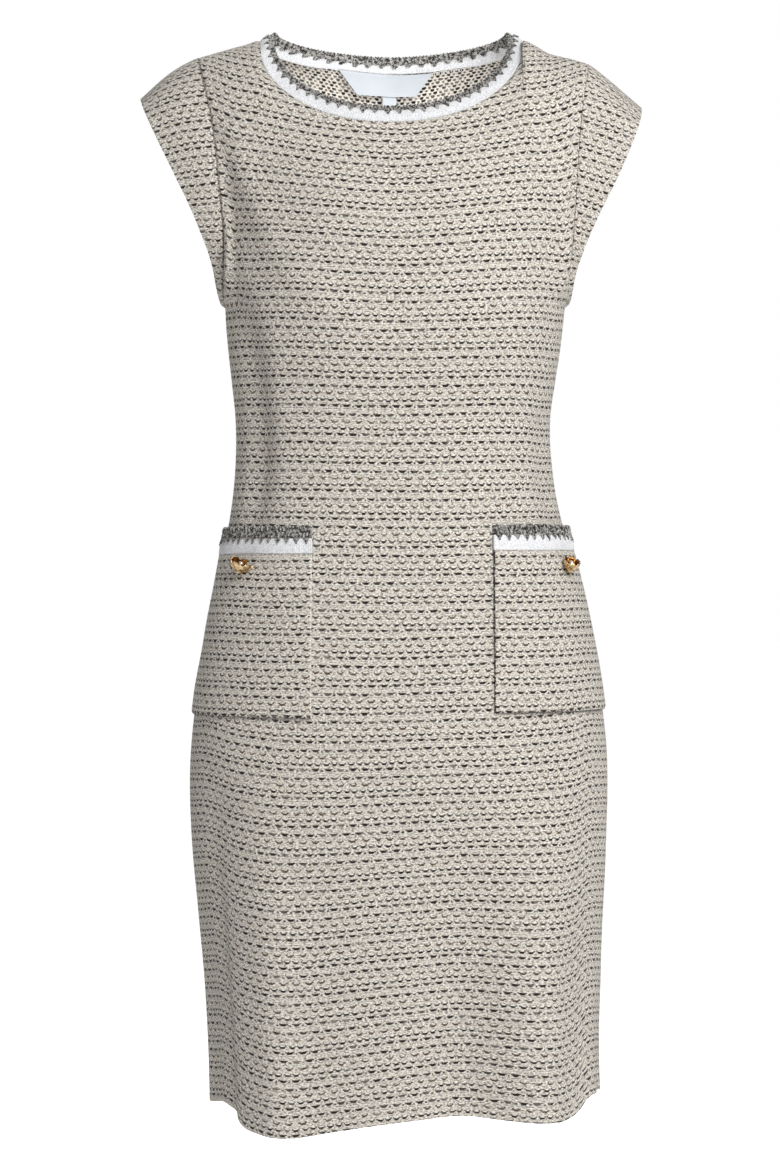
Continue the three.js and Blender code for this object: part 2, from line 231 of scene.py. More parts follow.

# A mark is a yarn that floats on the face of the cloth, or a painted highlight on a stitch: its place from
# its stitch's middle, its half-length, half-thickness, bow and colour, how strong it shows, and half the
# distance between two of it where it stands on both sides of its place.
dashRow = [
    (1.2, -2.4, 2.0, 0.55, -0.4, lilac, 0.6, 0),
    (0.0, 0.8, 0.9, 0.6, 0.0, brown, 0.9, 2.7),
    (0.0, 0.0, 2.5, 1.15, 0.25, nearBlack, 1.0, 0),
    (5.3, -0.6, 0.9, 0.8, 0.0, nearBlack, 0.9, 0),
]
tickRow = [
    (5.3, 0.0, 2.2, 0.9, 0.25, brown, 1.0, 0),
    (5.3, 1.2, 0.8, 0.75, 0.0, nearBlack, 0.85, 2.5),
]
smileRow = [
    # a painted highlight above the dark smile of each stitch
    (0.2, 1.5, 1.1, 0.6, 0.0, paintedStitchHighlight, 0.6, 0),
    (0.0, 0.0, 2.1, 0.95, 0.35, nearBlack, 1.0, 0),
    (0.0, 1.3, 0.7, 0.65, 0.0, brown, 0.9, 2.45),
]
pairRow = [
    (0.0, 1.3, 2.0, 1.25, 0.5, nearBlack, 1.0, 0),
    (5.2, 0.9, 1.5, 1.1, 0.5, nearBlack, 0.9, 0),
    (2.5, -1.7, 1.9, 1.25, 0.5, nearBlack, 1.0, 0),
    (7.8, -1.8, 1.2, 1.0, 0.4, brown, 0.9, 0),
]
# A row has its level in the repeat and how far apart its stitches are.
rightSide = [
    {"level": 0.0, "every": 10.65, "marks": dashRow},
    {"level": 0.268, "every": 10.65, "marks": tickRow},
    {"level": 0.5, "every": 7.1, "marks": smileRow},
    {"level": 0.69, "every": 10.65, "marks": dashRow},
]
wrongSide = [{"level": level, "every": 10.4, "marks": pairRow} for level in (0.0, 0.25, 0.5, 0.75)]


def stitchRow(tree, across, up, level, every):
    # place within one stitch of a row, and random numbers of its own for each stitch
    climb = up / knit["repeat"] + level + 0.5
    turn = climb.maths("FLOOR")
    y = (climb - turn - 0.5) * knit["repeat"]
    count = across / every + turn * 0.5
    cell = count.maths("FLOOR")
    chance = addNode(tree, "ShaderNodeTexWhiteNoise", {"Vector": combine(tree, cell, turn, level)})
    red, green, blue = separate(tree, Wire(tree, chance.outputs["Color"]))
    x = (count - cell - 0.5) * every + (red - 0.5) * knit["jitter"]
    return x, y + (green - 0.5) * knit["jitter"] * 0.5, blue


def markLook(x, y, every, mark):
    # how strongly a mark shows, and its colour
    markX, markY, half, thick, bow, colour, strength, apart = mark
    along = (x - markX) / every + 0.5
    near = (along - along.maths("FLOOR") - 0.5) * every
    if apart:
        near = near.maths("ABSOLUTE") - apart
    share = near / half
    squared = share * share
    height = (y - markY - squared * bow) / thick
    reach = squared * squared + height * height
    return reach.fadeBetween(*knit["markEdge"]) * strength, linear(colour)


def knitGroup(name, chart, shades):
    # the knit's colour and height from the cloth's measure in metres, and from how far the
    # nearest seam is, with 1 where it shows dark yarns caught in it and painted shade, -1 where it shows a
    # painted highlight and 0 for none
    takes = {"Cloth": "Vector", "Seam": "Vector"}
    tree, taken, end = nodeGroup(name, takes, {"Color": "Color", "Height": "Float"})
    sway = separate(tree, noiseOf(tree, taken["Cloth"], knit["swayScale"], 1.0)[1])
    slow = noiseOf(tree, taken["Cloth"], knit["slowScale"], 1.0)[0]
    u, v, _ = separate(tree, taken["Cloth"])
    across = u * (1 / mm) + (sway[0] - 0.5) * knit["sway"]
    up = v * (1 / mm) + (sway[1] - 0.5) * knit["rowSway"] + (slow - 0.5) * knit["slowSway"]
    # loops of the ground, each a V of two legs
    column = across / knit["stitch"]
    leg = (column - column.maths("FLOOR") - 0.5).maths("ABSOLUTE")
    course = up * knit["courses"] / knit["repeat"] - leg * 0.9
    loop = ((course - course.maths("FLOOR")) * math.pi).maths("SINE")
    relief = loop * ((leg * (2 * math.pi)).maths("SINE") * 0.6 + 0.4)
    # flecks of lighter and darker fibre, in short streaks
    streaked = combine(tree, u * 0.55, v)
    fleck = noiseOf(tree, streaked, knit["fleckScale"], 2.0, 0.75)[0]
    tint = noiseOf(tree, streaked, knit["tintScale"], 2.0, 0.6)[0]
    patch = noiseOf(tree, taken["Cloth"], knit["patchScale"], 2.0, 0.6)[0]
    colour = blend(tree, tint.fadeBetween(0.38, 0.62), linear(shades["cool"]), linear(shades["warm"]))
    colour = blend(tree, fleck.fadeBetween(0.49, 0.33), colour, linear(shades["dark"]))
    colour = blend(tree, fleck.fadeBetween(0.5, 0.62), colour, linear(shades["light"]))
    # painted shade: the knit's colour darkens where the loops of the ground sink, between the loops
    paintedLoopShade = relief * 0.34 + 0.74
    colour = blend(tree, 1.0, colour, combine(tree, paintedLoopShade, paintedLoopShade, paintedLoopShade), "MULTIPLY")
    height = relief
    for row in chart:
        x, y, chance = stitchRow(tree, across, up, row["level"], row["every"])
        paler = (chance * 0.4 + patch.fadeBetween(0.3, 0.6) * 0.35 + 0.55).maths("MINIMUM", 1.0)
        for mark in row["marks"]:
            mask, yarn = markLook(x, y, row["every"], mark)
            mask = mask * paler
            colour = blend(tree, mask, colour, yarn)
            height = height + mask * knit["markHeight"]
    away, kind, _ = separate(tree, taken["Seam"])
    close = away.fadeBetween(knit["seamReach"] * mm, knit["seamReach"] * mm / 3)
    broken = noiseOf(tree, taken["Cloth"], knit["seamScale"], 1.0)[0]
    broken = broken.fadeBetween(0.38, 0.52) * 0.75 + 0.25
    # dark yarns caught in the seam, with painted shade in its groove
    colour = blend(tree, close * broken * kind.maths("MAXIMUM", 0.0), colour, linear(nearBlack))
    # a painted highlight along a seam's lit edge
    colour = blend(tree, close * (kind * -0.7).maths("MAXIMUM", 0.0), colour, linear("f7f2ea"))
    plug(tree, end.inputs["Color"], colour)
    plug(tree, end.inputs["Height"], height)
    return tree


def fibreGroup():
    # fine hairs and twist of a yarn, in object coordinates
    takes = {"Place": "Vector", "Dark": "Color", "Light": "Color", "Scale": "Float"}
    tree, taken, end = nodeGroup("yarnFibre", takes, {"Color": "Color", "Height": "Float"})
    coarse = noiseOf(tree, taken["Place"], taken["Scale"], 2.0, 0.7)[0]
    fine = noiseOf(tree, taken["Place"], taken["Scale"] * 3.1, 2.0, 0.7)[0]
    share = (coarse * 0.65 + fine * 0.35).fadeBetween(0.44, 0.57)
    plug(tree, end.inputs["Color"], blend(tree, share, taken["Dark"], taken["Light"]))
    plug(tree, end.inputs["Height"], share)
    return tree


def newMaterial(name, values):
    material = bpy.data.materials.new(name)
    material.use_nodes = True
    tree = material.node_tree
    shader = tree.nodes["Principled BSDF"]
    for label, value in values.items():
        shader.inputs[label].default_value = value
    return material, tree, shader


def addBump(tree, shader, height, distance, strength=1.0):
    bump = addNode(tree, "ShaderNodeBump", {"Height": height, "Distance": distance, "Strength": strength})
    tree.links.new(bump.outputs["Normal"], shader.inputs["Normal"])


def knitMaterial(name, group, reach):
    material, tree, shader = newMaterial(name, {"Roughness": 0.92, "Sheen Weight": 0.06})
    cloth = addNode(tree, "ShaderNodeGroup", node_tree=group)
    for layer, label in (("cloth", "Cloth"), ("seam", "Seam")):
        mapped = addNode(tree, "ShaderNodeUVMap", uv_map=layer)
        tree.links.new(mapped.outputs["UV"], cloth.inputs[label])
    tree.links.new(cloth.outputs["Color"], shader.inputs["Base Color"])
    addBump(tree, shader, Wire(tree, cloth.outputs["Height"]), reach)
    return material


def objectPlace(tree):
    return Wire(tree, addNode(tree, "ShaderNodeTexCoord").outputs["Object"])


def yarnMaterial(name, group, dark, light, scale):
    material, tree, shader = newMaterial(name, {"Roughness": 0.9, "Sheen Weight": 0.2})
    values = {"Place": objectPlace(tree), "Dark": linear(dark), "Light": linear(light), "Scale": scale}
    fibre = addNode(tree, "ShaderNodeGroup", node_tree=group)
    for label, value in values.items():
        plug(tree, fibre.inputs[label], value)
    tree.links.new(fibre.outputs["Color"], shader.inputs["Base Color"])
    addBump(tree, shader, Wire(tree, fibre.outputs["Height"]), 0.3 * mm, 0.6)
    return material


def goldMaterial(name, dark, light):
    material, tree, shader = newMaterial(name, {"Metallic": 1.0})
    grain = noiseOf(tree, objectPlace(tree), 260.0, 3.0, 0.6)[0]
    tone = blend(tree, grain.fadeBetween(0.3, 0.65), linear(dark), linear(light))
    plug(tree, shader.inputs["Base Color"], tone)
    plug(tree, shader.inputs["Roughness"], grain * 0.3 + 0.12)
    addBump(tree, shader, grain, 0.2 * mm, 0.3)
    return material


def satinMaterial():
    material, tree, shader = newMaterial("labelSatin", {"Roughness": 0.45, "Sheen Weight": 0.1})
    place = objectPlace(tree)
    across, _, up = separate(tree, place)
    threads = [(part * 5200.0).maths("SINE") for part in (across, up)]
    weave = (threads[0] * threads[1]).fadeBetween(-1.0, 1.0)
    cloudy = noiseOf(tree, place, 60.0)[0]
    tone = blend(tree, weave * 0.35 + cloudy * 0.3, linear("b2b8be"), linear("d0d5da"))
    plug(tree, shader.inputs["Base Color"], tone)
    addBump(tree, shader, weave, 0.1 * mm, 0.5)
    return material


# how thick the solids' walls are
solidWalls = {"neck_band": 2.6, "neck_edging": 3.4, "neck_label": 1.0, "size_tab": 1.0, "": 2.2}


def awayFrom(face, centre):
    # how much of a face's area looks away from a point
    away = (face.calc_center_median() - centre).normalized()
    return face.calc_area() * face.normal.dot(away)


def skinGrid(node, start, along):
    # the outer skin of a node's wall, as rows of points. Row 0 leaves the corner furthest
    # towards start for the corner furthest towards along, and later rows lie beside it.
    mesh = bmesh.new()
    mesh.from_mesh(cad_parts[node].data)
    bmesh.ops.remove_doubles(mesh, verts=mesh.verts, dist=touching)
    mesh.normal_update()
    centre = Vector((0, 0, -0.3))
    wall = next(thickness for name, thickness in solidWalls.items() if node.startswith(name)) * mm
    # the strips of a wall's rim are the faces with an edge as long as the wall is thick
    left = set()
    for face in mesh.faces:
        if all(abs(edge.calc_length() - wall) > 3e-6 for edge in face.edges):
            left.add(face)
    skins = []
    while left:
        skin = [left.pop()]
        for face in skin:
            for other in {other for edge in face.edges for other in edge.link_faces} & left:
                left.discard(other)
                skin.append(other)
        skins.append(skin)
    outer = max(sorted(skins, key=len)[-2:], key=lambda skin: sum(awayFrom(face, centre) for face in skin))
    faces = set(outer)
    near = {}
    rim = {}
    for face in outer:
        for edge in face.edges:
            onRim = sum(other in faces for other in edge.link_faces) == 1
            for links in ((near, rim) if onRim else (near,)):
                for vert in edge.verts:
                    links.setdefault(vert, set()).add(edge.other_vert(vert))
    corners = [vert for vert in rim if sum(face in faces for face in vert.link_faces) < 3]
    first = max(corners, key=lambda vert: vert.co.dot(Vector(start)))
    last = max((vert for vert in corners if vert != first), key=lambda vert: vert.co.dot(Vector(along)))

    def walk(path):
        while path[-1] not in corners or len(path) == 1:
            path.append(next(vert for vert in rim[path[-1]] if vert not in path[-2:]))
        return path

    row, side = sorted((walk([first, step]) for step in rim[first]), key=lambda path: path[-1] != last)
    rows = [row]
    for head in side[1:]:
        path = [head]
        for below in rows[-1][1:]:
            found = (near[below] & near[path[-1]]) - set(rows[-1]) - set(path)
            path.append(found.pop())
        rows.append(path)
    grid = np.array([[vert.co[:] for vert in path] for path in rows])
    mesh.free()
    return grid


def smoothAlong(points, at):
    # a smooth curve through the points of the first axis, at fractional places along it
    before = 2 * points[:1] - points[1:2]
    after = 2 * points[-1:] - points[-2:-1]
    padded = np.concatenate([before, points, after])
    index = np.clip(np.floor(at).astype(int), 0, len(points) - 2)
    t = (at - index).reshape(-1, *[1] * (points.ndim - 1))
    a, b, c, d = (padded[index + k] for k in range(4))
    return b + 0.5 * t * ((c - a) + t * (2 * a - 5 * b + 4 * c - d + t * (3 * (b - c) + d - a)))


def straightAlong(points, at):
    return np.array([np.interp(at, np.arange(len(points)), values) for values in points.T])


def refined(grid, rowPlaces, columnPlaces):
    rows = smoothAlong(grid, rowPlaces)
    return smoothAlong(rows.swapaxes(0, 1), columnPlaces).swapaxes(0, 1)


def evenPlaces(line, spacing, edges=()):
    # places along a line of points, evenly spaced, with extra ones close to its two ends
    lengths = lengthAlong(line, 0)
    total = lengths[-1]
    wanted = np.linspace(0, total, max(2, round(total / spacing)) + 1)
    if edges:
        extra = np.array(edges) * mm
        inner = wanted[(wanted > extra[-1] * 1.2) & (wanted < total - extra[-1] * 1.2)]
        wanted = np.concatenate([[0], extra, inner, total - extra[::-1], [total]])
    return np.interp(wanted, lengths, np.arange(len(line)))


def unit(vectors):
    return vectors / np.maximum(np.linalg.norm(vectors, axis=-1, keepdims=True), 1e-12)


def normalsOf(points):
    return unit(np.cross(np.gradient(points, axis=1), np.gradient(points, axis=0)))


def lifted(points, heights):
    return points + normalsOf(points) * np.asarray(heights)[..., None]


def lengthAlong(points, axis):
    steps = np.linalg.norm(np.diff(points, axis=axis), axis=-1)
    start = np.zeros_like(np.take(steps, [0], axis=axis))
    return np.cumsum(np.concatenate([start, steps], axis=axis), axis=axis)


def sideDistance(points):
    # how far each point is from the nearer side
    lengths = lengthAlong(points, 1)
    return np.minimum(lengths, lengths[:, -1:] - lengths)


def shareUp(points):
    return np.linspace(0, 1, len(points))[:, None]


def unevenness(points, size, height, seed):
    # slow, soft waves of cloth that isn't quite smooth
    flat = points.reshape(-1, 3)
    shift = Vector((seed * 3.7, seed * 1.3, seed * 2.1))
    values = [noise.noise(Vector(point) / size + shift) for point in flat]
    return np.array(values).reshape(points.shape[:2]) * height


def clothMesh(points, cloth=None, seam=None, closed=False):
    # a grid laid on the points, with the cloth's own measure in metres as its UV map, and a
    # second map with how far the nearest seam is and how it shows
    rows, columns = points.shape[:2]
    if cloth is None:
        cloth = np.stack([lengthAlong(points, 1), lengthAlong(points, 0)], axis=-1)
    mesh = bmesh.new()
    bmesh.ops.create_grid(mesh, x_segments=columns - 1, y_segments=rows - 1, size=1)
    maps = {"cloth": cloth} if seam is None else {"cloth": cloth, "seam": seam}
    layers = [mesh.loops.layers.uv.new(name) for name in maps]
    values = [value.reshape(-1, 2) for value in maps.values()]
    mesh.verts.ensure_lookup_table()
    flatPoints = points.reshape(-1, 3)
    places = []
    for vert in mesh.verts:
        column = round((vert.co.x + 1) / 2 * (columns - 1))
        row = round((vert.co.y + 1) / 2 * (rows - 1))
        places.append(row * columns + column)
    for vert, place in zip(mesh.verts, places):
        vert.co = flatPoints[place]
    for face in mesh.faces:
        face.smooth = True
        for corner in face.loops:
            for layer, value in zip(layers, values):
                corner[layer].uv = value[places[corner.vert.index]]
    if closed:
        bmesh.ops.remove_doubles(mesh, verts=mesh.verts, dist=touching)
    return mesh


def finished(name, mesh, materials, wall=None, rounding=0.7):
    # the piece's object, with its wall's thickness grown inwards and its rims rounded
    data = bpy.data.meshes.new(name)
    mesh.to_mesh(data)
    mesh.free()
    piece = bpy.data.objects.new(name, data)
    bpy.context.scene.collection.objects.link(piece)
    for material in materials:
        data.materials.append(material)
    if wall:
        solid = piece.modifiers.new("wall", "SOLIDIFY")
        solid.thickness = wall * mm
        solid.offset = -1
        solid.material_offset = len(materials) - 1
        rim = piece.modifiers.new("rim", "BEVEL")
        rim.width = rounding * mm
        rim.segments = 2
        rim.limit_method = "ANGLE"
        rim.angle_limit = math.radians(55)
    return piece


def hand(piece, slot, *nodes):
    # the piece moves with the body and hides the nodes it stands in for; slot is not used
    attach(piece, "root")
    if nodes:
        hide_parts(*nodes)
    print(piece.name, "made")


# Folds of the cloth: the middle's place across the panel (-1 the wearer's right side seam, 1 the
# left), the heights it runs between, its half-width, how far it leans and how high it stands.
panelFolds = {
    "front": [
        (-0.62, -225, -500, 0.075, 0.06, -3.2),
        (-0.47, -240, -430, 0.07, 0.05, 1.6),
        (-0.85, -60, -330, 0.12, 0.5, -5.0),
        (-0.55, -50, -310, 0.12, 1.1, 4.0),
        (-0.63, -640, -1230, 0.1, 0.02, -12.5),
        (-0.37, -640, -1230, 0.11, 0.02, 10.5),
        (0.15, -670, -1230, 0.12, 0.0, -15.0),
        (0.42, -670, -1230, 0.13, 0.0, 19.0),
        (0.84, -850, -1130, 0.06, 0.0, -3.2),
        (0.8, -345, -392, 0.16, 0.1, -1.4),
        (0.78, -385, -440, 0.18, 0.1, -1.6),
    ],
    "back": [
        (-0.45, -660, -1100, 0.08, -0.03, 3.0),
        (-0.62, -700, -1100, 0.07, -0.03, -3.2),
        (0.5, -720, -1100, 0.09, 0.04, 2.6),
        (0.14, -760, -1100, 0.1, 0.0, -2.0),
        (-0.1, -350, -430, 0.35, 0.0, -2.4),
        (0.1, -410, -480, 0.3, 0.0, -2.0),
        (0.66, -260, -480, 0.08, -0.05, -2.2),
    ],
}
# Places across each panel, and how much lower than level the hem hangs there.
hemLine = {
    "front": [
        (-1.0, -2.0), (-0.87, -6.6), (-0.73, -10.5), (-0.6, -3.5), (-0.52, 5.0), (-0.44, 7.4),
        (-0.3, 8.5), (-0.15, 2.8), (0.0, -3.6), (0.15, -5.9), (0.3, -3.2), (0.44, 0.0),
        (0.52, 1.9), (0.6, -0.5), (0.67, -10.7), (0.73, -11.9), (0.87, -8.4), (1.0, -2.7),
    ],
    "back": [(-1.0, -2.0), (-0.75, -1.0), (-0.4, 4.0), (0.1, 0.0), (0.6, 2.0), (1.0, -2.7)],
}
# how dark each side's seams show: dark yarns caught in them, and painted shade that is stronger on the
# wearer's right, the side away from the key light
seamYarnsAndPaintedShade = {"right": 0.65, "left": 0.1}
panelCut = {
    "neckPlace": 2 / 3,
    "neckColumns": 18,
    "shoulderColumns": 5,
    "across": 4.0,
    "along": 3.2,
    "nearSeams": (0.8, 2.0, 3.6),
    "nearHems": (0.8, 2.0),
    "wave": 0.07,  # metres
    "waveHeight": 1.5,
    "wall": 2.2,
    "rounding": 0.35,
    "seamDepth": 0.5,
    "seamWidth": 2.0,
    "hips": -540,
    "rowsUp": 0.9,
    "eased": 0.0165,
    "taut": 0.039,
    "dip": 4.7,
    "sag": 24,
    # in metres
    "lobesFade": (-0.47, -0.94),
    "sagHalf": 0.12,
    "sagFrom": -0.45,
    "dipHalf": 0.126,
}


def fade(values, start, end):
    share = np.clip((values - start) / (end - start), 0, 1)
    return share * share * (3 - 2 * share)


def foldHeights(face, across, z):
    heights = np.zeros_like(z)
    for place, top, bottom, width, lean, height in panelFolds[face]:
        run = np.clip((top * mm - z) / ((top - bottom) * mm), 0, 1)
        middle = place + lean * (run - 0.5)
        shape = np.exp(-(((across - middle) / width) ** 2)) * np.sin(np.pi * run)
        heights += shape * height * mm
    return heights


def hemDrop(face, across):
    places, drops = np.array(hemLine[face]).T
    at = np.interp(across[0], places, np.arange(len(drops)))
    return smoothAlong(drops, at) * mm


def seamTrough(distance):
    return -panelCut["seamDepth"] * mm * np.exp(-((distance / (panelCut["seamWidth"] * mm)) ** 2))


def panelSurface(face):
    sign = 1 if face == "front" else -1
    grid = skinGrid(f"{face}_panel", (-sign, 0, -1), (sign, 0, -1))
    cut = panelCut
    shoulder = np.linspace(cut["neckPlace"], 1, cut["shoulderColumns"] + 1)[1:]
    neck = np.linspace(-cut["neckPlace"], cut["neckPlace"], cut["neckColumns"] + 1)
    columnPlace = np.concatenate([-shoulder[::-1], neck, shoulder]) * sign
    columns = evenPlaces(grid[6], cut["across"] * mm, cut["nearSeams"])
    middle = grid[:, len(columnPlace) // 2]
    rows = evenPlaces(middle, cut["along"] * mm, cut["nearHems"])
    points = refined(grid, rows, columns)
    across = np.interp(columns, np.arange(len(columnPlace)), columnPlace)[None, :] + 0 * points[..., 0]
    # cloth's measure: u round from the middle, v up from the hem, with rows that sag between the
    # shoulders
    normals = normalsOf(points)
    steps = np.diff(points, axis=1)
    girth = np.cumsum(np.hypot(steps[..., 0], steps[..., 1]), axis=1)
    u = np.concatenate([np.zeros((len(points), 1)), girth], axis=1)
    centre = np.argmin(np.abs(across[0]))
    u = u - u[:, centre:centre + 1]
    climb = np.diff(points[..., 2], axis=0) / np.sqrt(1 - np.clip(normals[:-1, :, 2], -0.93, 0.93) ** 2)
    v = points[:1, :, 2] + np.concatenate([np.zeros((1, points.shape[1])), np.cumsum(climb, axis=0)])
    rising = np.clip((points[..., 2] - cut["sagFrom"]) / abs(cut["sagFrom"]), 0, 1) ** 2
    v = v - cut["sag"] * mm * rising * (np.abs(points[..., 0]) / cut["sagHalf"]) ** 1.5
    # the knit is a little stretched, less above the hips, and its rows dip in the middle
    above = points[..., 2] - cut["hips"] * mm
    v = v + cut["rowsUp"] * mm + np.where(above > 0, cut["eased"], cut["taut"]) * above
    v = v - cut["dip"] * mm * np.minimum(np.abs(points[..., 0]) / cut["dipHalf"], 1.3) ** 2
    # shape: hem's lobes, folds, unevenness and the troughs of the seams
    low = fade(points[..., 2], *cut["lobesFade"])
    points[..., 2] -= hemDrop(face, across) * low
    inner = 1 - np.clip(np.abs(across) ** 12, 0, 1)
    heights = foldHeights(face, across, points[..., 2]) * inner
    heights += unevenness(points, cut["wave"], cut["waveHeight"] * mm, 1 + sign) * inner
    side = sideDistance(points)
    climbed = lengthAlong(points, 0)
    top = climbed[-1:] - climbed + np.where(np.abs(across) < cut["neckPlace"], 1.0, 0.0)
    away = np.minimum(side, top)
    heights += seamTrough(away)
    shows = np.where(points[..., 0] < 0, seamYarnsAndPaintedShade["right"], seamYarnsAndPaintedShade["left"])
    return lifted(points, heights), np.stack([u, v], axis=-1), np.stack([away, shows], axis=-1)


def makePanel(face, materials):
    points, cloth, seam = panelSurface(face)
    mesh = clothMesh(points, cloth, seam)
    piece = finished(f"{face}Panel", mesh, materials, panelCut["wall"], panelCut["rounding"])
    hand(piece, "tweed_knit", f"{face}_panel")


# The knit's rows climb by the rise on their way out from the armhole and turn over the shoulder
# within a length, and the lower half of each sleeve's edge is tucked in.
sleeveLook = {
    "rise": 0.38,
    "turnOver": 30,
    "tuck": {"right": 9.0, "left": 3.0},
    "across": 2.0,
    "along": 2.6,
    "nearEdges": (0.8, 1.8),
    "wave": 0.035,  # metres
    "waveHeight": 1.2,
}


def makeSleeve(side, materials):
    sign = 1 if side == "left" else -1
    # rows run out from the front of the underarm, over the shoulder and down behind it
    grid = skinGrid(f"sleeve_{side}", (-sign, -10, 0), (sign, -10, 0))
    grid = grid[:, ::sign]
    look = sleeveLook
    rows = evenPlaces(grid[:, 1], look["along"] * mm)
    columns = evenPlaces(grid[len(grid) // 2], look["across"] * mm, look["nearEdges"])
    points = refined(grid, rows, columns)
    away = lengthAlong(points[:, ::sign], 1)[:, ::sign]
    heights = seamTrough(away) + unevenness(points, look["wave"], look["waveHeight"] * mm, 5 + sign)
    run = lengthAlong(points[:, ::sign], 0)[:, :1]
    half = run[-1] / 2
    low = np.sin(np.pi * np.clip(np.minimum(run, 2 * half - run) / (0.8 * half), 0, 1))
    heights -= look["tuck"][side] * mm * low * (away / away.max()) ** 2
    points = lifted(points, heights)
    # the knit's rows run out from the armhole
    upwards = np.clip((half - run) / (look["turnOver"] * mm), -1, 1)
    v = run - half - look["rise"] * away * upwards
    cloth = np.stack([away * sign, v], axis=-1)
    seam = np.stack([away, np.full_like(away, seamYarnsAndPaintedShade[side])], axis=-1)
    name = f"sleeve{side.capitalize()}"
    mesh = clothMesh(points, cloth, seam)
    piece = finished(name, mesh, materials, panelCut["wall"], panelCut["rounding"])
    hand(piece, "tweed_knit", f"sleeve_{side}")


def evaluatedMesh(holder):
    # what the object's curve or modifiers make, as a bmesh that takes the object's place
    bpy.context.view_layer.update()
    evaluated = holder.evaluated_get(bpy.context.evaluated_depsgraph_get())
    data = bpy.data.meshes.new_from_object(evaluated)
    mesh = bmesh.new()
    mesh.from_mesh(data)
    bpy.data.objects.remove(holder)
    bpy.data.meshes.remove(data)
    return mesh


def yarnMesh(name, strands, radius, sides=6):
    # round yarns along lines of points, where a strand may close on itself
    curve = bpy.data.curves.new(name, "CURVE")
    curve.dimensions = "3D"
    curve.bevel_depth = radius * mm
    curve.bevel_resolution = (sides - 4) // 2
    curve.use_fill_caps = True
    for strand in strands:
        line = np.asarray(strand["points"])
        spline = curve.splines.new("POLY")
        spline.points.add(len(line) - 1)
        spline.points.foreach_set("co", np.insert(line, 3, 1.0, axis=1).ravel())
        spline.use_cyclic_u = strand.get("closed", False)
    holder = bpy.data.objects.new(name, curve)
    bpy.context.scene.collection.objects.link(holder)
    mesh = evaluatedMesh(holder)
    bpy.data.curves.remove(curve)
    bmesh.ops.recalc_face_normals(mesh, faces=mesh.faces)
    for face in mesh.faces:
        face.smooth = True
    return mesh


def joined(meshes):
    whole = bmesh.new()
    for mesh in meshes:
        data = bpy.data.meshes.new("part")
        mesh.to_mesh(data)
        mesh.free()
        whole.from_mesh(data)
        bpy.data.meshes.remove(data)
    return whole


crochet = {
    "pitch": 3.3,
    "turnPoints": 8,
    "yarn": 0.84,
    "lines": 2,
    "pointYarn": 0.68,
    "uneven": 0.8,
}
# Points of crochet: how far apart, their half-width and height, how blunt their tips are, how
# far those lean, and how high a point stands off the band.
outerPoints = {"spacing": 10.6, "half": 2.9, "tall": 4.8, "blunt": 0.12, "lean": 0.3, "rise": 0.5}
innerPoints = {"spacing": 12.2, "half": 4.3, "tall": 4.6, "blunt": 0.4, "lean": 1.2, "rise": 0.5}
pocketPoints = {"spacing": 9.0, "half": 2.7, "tall": 4.6, "blunt": 0.1, "lean": 0.2, "rise": 0.5}
linking = {"spacing": 2.1, "yarn": 0.42, "start": -1.1, "end": 0.9, "uneven": 0.7}


def crochetBand(top, bottom, normal, thick, closed):
    # rows of stitches wound round a strip that lies between two edges
    edges = [top, bottom, normal]
    if closed:
        edges = [np.concatenate([line, line[:1]]) for line in edges]
    centreLine = (edges[0] + edges[1]) / 2
    steps = evenPlaces(centreLine, crochet["pitch"] / crochet["turnPoints"] * mm)
    if closed:
        steps = steps[:-1]
    upper, lower, out = (smoothAlong(line, steps) for line in edges)
    across = unit(upper - lower)
    width = np.linalg.norm(upper - lower, axis=1)
    turns = round(lengthAlong(centreLine, 0)[-1] / (crochet["pitch"] * mm))
    phase = 2 * np.pi * np.arange(len(steps)) / len(steps)
    lines = crochet["lines"]
    strands = []
    for line in range(lines):
        angle = turns * phase * (1 if line % 2 else -1) + line
        angle = angle + crochet["uneven"] * np.sin(round(turns * 0.37) * phase + line)
        wide = width / lines * 0.52 * np.cos(angle)
        deep = thick * mm / 2 * np.sin(angle)
        middle = lower + (upper - lower) * (line + 0.5) / lines
        strands.append({"points": middle + across * wide[:, None] + out * deep[:, None], "closed": closed})
    return yarnMesh("crochet", strands, crochet["yarn"])


def measured(points, normals, closed):
    # a band's face, with the lengths along its top edge in millimetres
    return points, normals, closed, lengthAlong(points, 1)[-1] / mm


def bandPlace(band, along, down, rise):
    # a point over a band's face, at lengths along its top edge and down from it
    points, normals, closed, lengths = band
    column = np.interp(along % lengths[-1] if closed else along, lengths, np.arange(len(lengths)))
    low = min(math.floor(column), len(lengths) - 2)
    share = column - low
    pairs = (points[:, low:low + 2], normals[:, low:low + 2])
    line, out = ((pair[:, 0] * (1 - share) + pair[:, 1] * share)[::-1] for pair in pairs)
    depths = lengthAlong(line, 0)
    reach = down * mm
    inside = min(max(reach, 0), depths[-1])
    at = np.interp(inside, depths, np.arange(len(depths)))
    end = unit(line[1] - line[0] if reach < 0 else line[-1] - line[-2])
    return straightAlong(line, at) + end * (reach - inside) + straightAlong(out, at) * rise * mm


def ribbed(points, ribs, crown, ribHeight):
    # heights of a band's crown and of the ribs that run up and down it
    arch = np.sin(np.pi * shareUp(points))
    rib = np.cos(2 * np.pi * ribs * np.linspace(0, 1, points.shape[1]))
    return (crown * arch + ribHeight * rib * arch ** 0.3)[..., None] * mm


def edgingMeshes(points, normals, cut, material, closed):
    # an edging's core, and the rows of stitches wound round it
    core = solidCore(points, normals * cut["edgingIn"] * mm, cut["edgingWall"], material)
    used = slice(None, -1 if closed else None)
    out = normals[cut["edgingRow"], used]
    inset = out * cut["stitchesIn"] * mm
    top, bottom = (points[row, used] - inset for row in (-1, 0))
    return [core, crochetBand(top, bottom, out, cut["edgingThick"], closed)]


